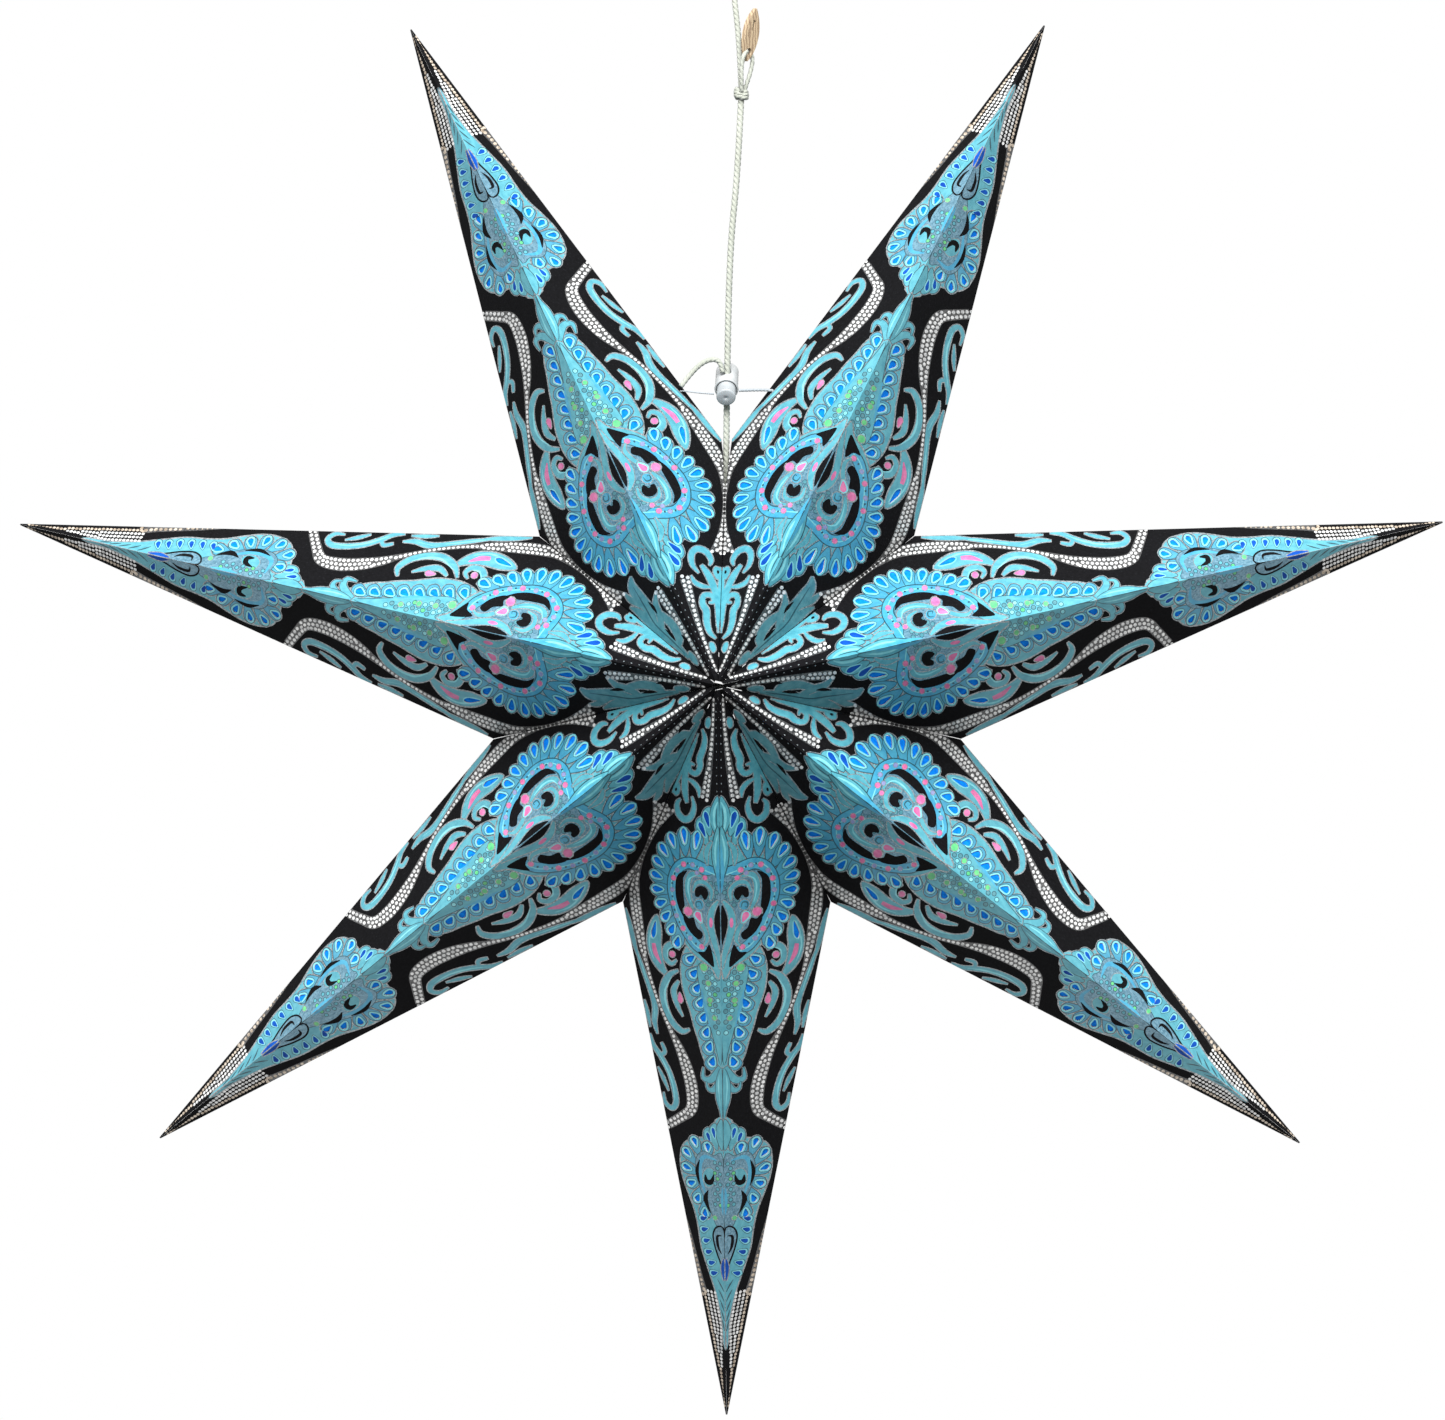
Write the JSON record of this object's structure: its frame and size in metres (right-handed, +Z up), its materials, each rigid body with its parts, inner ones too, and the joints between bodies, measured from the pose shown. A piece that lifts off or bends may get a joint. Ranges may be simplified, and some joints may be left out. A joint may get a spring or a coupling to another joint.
{
  "type": "folding seven-pointed paper star lantern",
  "caption": "Folding paper star lantern with seven points, die-cut windows backed with coloured tissue, a cotton hanging cord, spring cord lock and wooden adjuster",
  "frame": {"origin": "top of the hanging loop, where a hook bears", "axes": "+Z up, star axis along Y with its front at -Y, +X to the right seen from the front"},
  "size_m": [0.581, 0.1972, 0.6284],
  "materials": {
    "printed_card": "matt black card printed with turquoise, blue, pink and silver ornament",
    "tissue": "thin translucent blue tissue with pink and green patches",
    "cotton_cord": "off-white waxed cotton, twisted",
    "tie_string": "white twisted string",
    "lock_plastic": "white moulded plastic",
    "button_plastic": "light grey moulded plastic",
    "spring_steel": "bright spring wire",
    "adjuster_wood": "smooth unvarnished light brown wood"
  },
  "bodies": {
    "point_7_front_right": {"point_7_front_right": "printed_card", "point_7_front_right_tissue": "tissue", "hanging_cord_lower": "cotton_cord", "hanging_cord_upper": "cotton_cord", "stopper_knot": "cotton_cord", "adjuster_knot": "cotton_cord", "loop_knot": "cotton_cord", "hang_loop": "cotton_cord", "tie_string_left": "tie_string", "tie_knot_left": "tie_string"},
    "point_7_back_right": {"point_7_back_right": "printed_card"},
    "point_7_front_left": {"point_7_front_left": "printed_card", "point_7_front_left_tissue": "tissue"},
    "point_7_back_left": {"point_7_back_left": "printed_card"},
    "point_6_front_right": {"point_6_front_right": "printed_card", "point_6_front_right_tissue": "tissue"},
    "point_6_back_right": {"point_6_back_right": "printed_card"},
    "point_6_front_left": {"point_6_front_left": "printed_card", "point_6_front_left_tissue": "tissue"},
    "point_6_back_left": {"point_6_back_left": "printed_card"},
    "point_5_front_right": {"point_5_front_right": "printed_card", "point_5_front_right_tissue": "tissue"},
    "point_5_back_right": {"point_5_back_right": "printed_card"},
    "point_5_front_left": {"point_5_front_left": "printed_card", "point_5_front_left_tissue": "tissue"},
    "point_5_back_left": {"point_5_back_left": "printed_card"},
    "point_4_front_right": {"point_4_front_right": "printed_card", "point_4_front_right_tissue": "tissue"},
    "point_4_back_right": {"point_4_back_right": "printed_card"},
    "point_4_front_left": {"point_4_front_left": "printed_card", "point_4_front_left_tissue": "tissue"},
    "point_4_back_left": {"point_4_back_left": "printed_card"},
    "point_3_front_right": {"point_3_front_right": "printed_card", "point_3_front_right_tissue": "tissue"},
    "point_3_back_right": {"point_3_back_right": "printed_card"},
    "point_3_front_left": {"point_3_front_left": "printed_card", "point_3_front_left_tissue": "tissue"},
    "point_3_back_left": {"point_3_back_left": "printed_card"},
    "point_2_front_right": {"point_2_front_right": "printed_card", "point_2_front_right_tissue": "tissue"},
    "point_2_back_right": {"point_2_back_right": "printed_card"},
    "point_2_front_left": {"point_2_front_left": "printed_card", "point_2_front_left_tissue": "tissue"},
    "point_2_back_left": {"point_2_back_left": "printed_card"},
    "point_1_front_right": {"point_1_front_right": "printed_card", "point_1_front_right_tissue": "tissue"},
    "point_1_back_right": {"point_1_back_right": "printed_card"},
    "point_1_front_left": {"point_1_front_left": "printed_card", "point_1_front_left_tissue": "tissue", "tie_string_right": "tie_string", "tie_knot_right": "tie_string"},
    "point_1_back_left": {"point_1_back_left": "printed_card"},
    "cord_lock": {"lock_barrel": "lock_plastic", "lock_loop_string": "tie_string", "lock_spring": "spring_steel"},
    "lock_button": {"lock_button": "button_plastic"},
    "wooden_adjuster": {"wooden_adjuster": "adjuster_wood", "adjuster_tie": "cotton_cord"}
  },
  "joints": [
    {"name": "fold_point_7_right_side", "type": "hinge", "parent": "point_7_front_right", "child": "point_7_back_right", "pos_m": [-0.06508, 0, -0.14385], "axis": [0.6028, 0, -0.7979], "range_deg": [0, 59]},
    {"name": "fold_point_7_ridge", "type": "hinge", "parent": "point_7_front_right", "child": "point_7_front_left", "pos_m": [-0.06508, -0.05, -0.19285], "axis": [0.4116, -0.3162, -0.8547], "range_deg": [0, 61.88]},
    {"name": "fold_point_7_left_side", "type": "hinge", "parent": "point_7_front_left", "child": "point_7_back_left", "pos_m": [-0.10339, 0, -0.1623], "axis": [-0.248, 0, 0.9688], "range_deg": [0, 59]},
    {"name": "fold_valley_7_6", "type": "hinge", "parent": "point_7_front_left", "child": "point_6_front_right", "pos_m": [-0.03862, -0.05039, -0.2972], "axis": [-0.5472, 0.7142, 0.4364], "range_deg": [0, 90.7]},
    {"name": "fold_point_6_right_side", "type": "hinge", "parent": "point_6_front_right", "child": "point_6_back_right", "pos_m": [-0.18455, 0, -0.26407], "axis": [0.9997, 0, -0.0262], "range_deg": [0, 59]},
    {"name": "fold_point_6_ridge", "type": "hinge", "parent": "point_6_front_right", "child": "point_6_front_left", "pos_m": [-0.14624, -0.05, -0.29462], "axis": [0.9249, -0.3162, -0.2111], "range_deg": [0, 61.89]},
    {"name": "fold_point_6_left_side", "type": "hinge", "parent": "point_6_front_left", "child": "point_6_back_left", "pos_m": [-0.19401, 0, -0.30553], "axis": [-0.912, 0, 0.4101], "range_deg": [0, 59]},
    {"name": "fold_valley_6_5", "type": "hinge", "parent": "point_6_front_left", "child": "point_5_front_right", "pos_m": [-0.04815, -0.05039, -0.33899], "axis": [-0.6824, 0.7142, -0.1557], "range_deg": [0, 90.7]},
    {"name": "fold_point_5_right_side", "type": "hinge", "parent": "point_5_front_right", "child": "point_5_back_right", "pos_m": [-0.16505, 0, -0.43243], "axis": [0.6437, 0, 0.7652], "range_deg": [0, 59]},
    {"name": "fold_point_5_ridge", "type": "hinge", "parent": "point_5_front_right", "child": "point_5_front_left", "pos_m": [-0.11727, -0.05, -0.42152], "axis": [0.7417, -0.3162, 0.5915], "range_deg": [0, 61.89]},
    {"name": "fold_point_5_left_side", "type": "hinge", "parent": "point_5_front_left", "child": "point_5_back_left", "pos_m": [-0.13853, 0, -0.46567], "axis": [-0.8893, 0, -0.4573], "range_deg": [0, 59]},
    {"name": "fold_valley_5_4", "type": "hinge", "parent": "point_5_front_left", "child": "point_4_front_right", "pos_m": [-0.02143, -0.05039, -0.3725], "axis": [-0.3037, 0.7142, -0.6306], "range_deg": [0, 90.7]},
    {"name": "fold_point_4_right_side", "type": "hinge", "parent": "point_4_front_right", "child": "point_4_back_right", "pos_m": [-0.02126, 0, -0.52215], "axis": [-0.1969, 0, 0.9804], "range_deg": [0, 59]},
    {"name": "fold_point_4_ridge", "type": "hinge", "parent": "point_4_front_right", "child": "point_4_front_left", "pos_m": [0, -0.05, -0.478], "axis": [0, -0.3162, 0.9487], "range_deg": [0, 61.89]},
    {"name": "fold_point_4_left_side", "type": "hinge", "parent": "point_4_front_left", "child": "point_4_back_left", "pos_m": [0.02126, 0, -0.52215], "axis": [-0.1969, 0, -0.9804], "range_deg": [0, 59]},
    {"name": "fold_valley_4_3", "type": "hinge", "parent": "point_4_front_left", "child": "point_3_front_right", "pos_m": [0.02143, -0.05039, -0.3725], "axis": [0.3037, 0.7142, -0.6306], "range_deg": [0, 90.7]},
    {"name": "fold_point_3_right_side", "type": "hinge", "parent": "point_3_front_right", "child": "point_3_back_right", "pos_m": [0.13853, 0, -0.46567], "axis": [-0.8893, 0, 0.4573], "range_deg": [0, 59]},
    {"name": "fold_point_3_ridge", "type": "hinge", "parent": "point_3_front_right", "child": "point_3_front_left", "pos_m": [0.11727, -0.05, -0.42152], "axis": [-0.7417, -0.3162, 0.5915], "range_deg": [0, 61.89]},
    {"name": "fold_point_3_left_side", "type": "hinge", "parent": "point_3_front_left", "child": "point_3_back_left", "pos_m": [0.16505, 0, -0.43243], "axis": [0.6437, 0, -0.7652], "range_deg": [0, 59]},
    {"name": "fold_valley_3_2", "type": "hinge", "parent": "point_3_front_left", "child": "point_2_front_right", "pos_m": [0.04815, -0.05039, -0.33899], "axis": [0.6824, 0.7142, -0.1557], "range_deg": [0, 90.7]},
    {"name": "fold_point_2_right_side", "type": "hinge", "parent": "point_2_front_right", "child": "point_2_back_right", "pos_m": [0.19401, 0, -0.30553], "axis": [-0.912, 0, -0.4101], "range_deg": [0, 59]},
    {"name": "fold_point_2_ridge", "type": "hinge", "parent": "point_2_front_right", "child": "point_2_front_left", "pos_m": [0.14624, -0.05, -0.29462], "axis": [-0.9249, -0.3162, -0.2111], "range_deg": [0, 61.89]},
    {"name": "fold_point_2_left_side", "type": "hinge", "parent": "point_2_front_left", "child": "point_2_back_left", "pos_m": [0.18455, 0, -0.26407], "axis": [0.9997, 0, 0.0262], "range_deg": [0, 59]},
    {"name": "fold_valley_2_1", "type": "hinge", "parent": "point_2_front_left", "child": "point_1_front_right", "pos_m": [0.03862, -0.05039, -0.2972], "axis": [0.5472, 0.7142, 0.4364], "range_deg": [0, 90.7]},
    {"name": "fold_point_1_right_side", "type": "hinge", "parent": "point_1_front_right", "child": "point_1_back_right", "pos_m": [0.10339, 0, -0.1623], "axis": [-0.248, 0, -0.9688], "range_deg": [0, 59]},
    {"name": "fold_point_1_ridge", "type": "hinge", "parent": "point_1_front_right", "child": "point_1_front_left", "pos_m": [0.06508, -0.05, -0.19285], "axis": [-0.4116, -0.3162, -0.8547], "range_deg": [0, 61.89]},
    {"name": "fold_point_1_left_side", "type": "hinge", "parent": "point_1_front_left", "child": "point_1_back_left", "pos_m": [0.06508, 0, -0.14385], "axis": [0.6028, 0, 0.7979], "range_deg": [0, 59]},
    {"name": "lock_slide", "type": "slide", "parent": "point_7_front_right", "child": "cord_lock", "axis": [0.0104, 0, 0.9999], "range_m": [0, 0.03]},
    {"name": "lock_button_press", "type": "slide", "parent": "cord_lock", "child": "lock_button", "axis": [0, 0.7986, 0.6018], "range_m": [0, 0.003], "stiffness_N_per_m": 600, "springref_m": -0.004, "deforming": ["lock_spring"]},
    {"name": "adjuster_swing", "type": "hinge", "parent": "point_7_front_right", "child": "wooden_adjuster", "pos_m": [0.006, 0, -0.085], "axis": [0, 1, 0], "range_deg": [0, 60]}
  ],
  "couplings": [
    {"joint": "fold_point_7_right_side", "follows": "fold_point_7_ridge", "ratio": 0.95328},
    {"joint": "fold_point_7_left_side", "follows": "fold_point_7_ridge", "ratio": 0.95328},
    {"joint": "fold_valley_7_6", "follows": "fold_point_7_ridge", "ratio": 1.4655},
    {"joint": "fold_point_6_right_side", "follows": "fold_point_7_ridge", "ratio": 0.95328},
    {"joint": "fold_point_6_ridge", "follows": "fold_point_7_ridge", "ratio": 1},
    {"joint": "fold_point_6_left_side", "follows": "fold_point_7_ridge", "ratio": 0.95328},
    {"joint": "fold_valley_6_5", "follows": "fold_point_7_ridge", "ratio": 1.4655},
    {"joint": "fold_point_5_right_side", "follows": "fold_point_7_ridge", "ratio": 0.95328},
    {"joint": "fold_point_5_ridge", "follows": "fold_point_7_ridge", "ratio": 1},
    {"joint": "fold_point_5_left_side", "follows": "fold_point_7_ridge", "ratio": 0.95328},
    {"joint": "fold_valley_5_4", "follows": "fold_point_7_ridge", "ratio": 1.4655},
    {"joint": "fold_point_4_right_side", "follows": "fold_point_7_ridge", "ratio": 0.95328},
    {"joint": "fold_point_4_ridge", "follows": "fold_point_7_ridge", "ratio": 1},
    {"joint": "fold_point_4_left_side", "follows": "fold_point_7_ridge", "ratio": 0.95328},
    {"joint": "fold_valley_4_3", "follows": "fold_point_7_ridge", "ratio": 1.4655},
    {"joint": "fold_point_3_right_side", "follows": "fold_point_7_ridge", "ratio": 0.95328},
    {"joint": "fold_point_3_ridge", "follows": "fold_point_7_ridge", "ratio": 1},
    {"joint": "fold_point_3_left_side", "follows": "fold_point_7_ridge", "ratio": 0.95328},
    {"joint": "fold_valley_3_2", "follows": "fold_point_7_ridge", "ratio": 1.4655},
    {"joint": "fold_point_2_right_side", "follows": "fold_point_7_ridge", "ratio": 0.95328},
    {"joint": "fold_point_2_ridge", "follows": "fold_point_7_ridge", "ratio": 1},
    {"joint": "fold_point_2_left_side", "follows": "fold_point_7_ridge", "ratio": 0.95328},
    {"joint": "fold_valley_2_1", "follows": "fold_point_7_ridge", "ratio": 1.4655},
    {"joint": "fold_point_1_right_side", "follows": "fold_point_7_ridge", "ratio": 0.95328},
    {"joint": "fold_point_1_ridge", "follows": "fold_point_7_ridge", "ratio": 1},
    {"joint": "fold_point_1_left_side", "follows": "fold_point_7_ridge", "ratio": 0.95328}
  ]
}
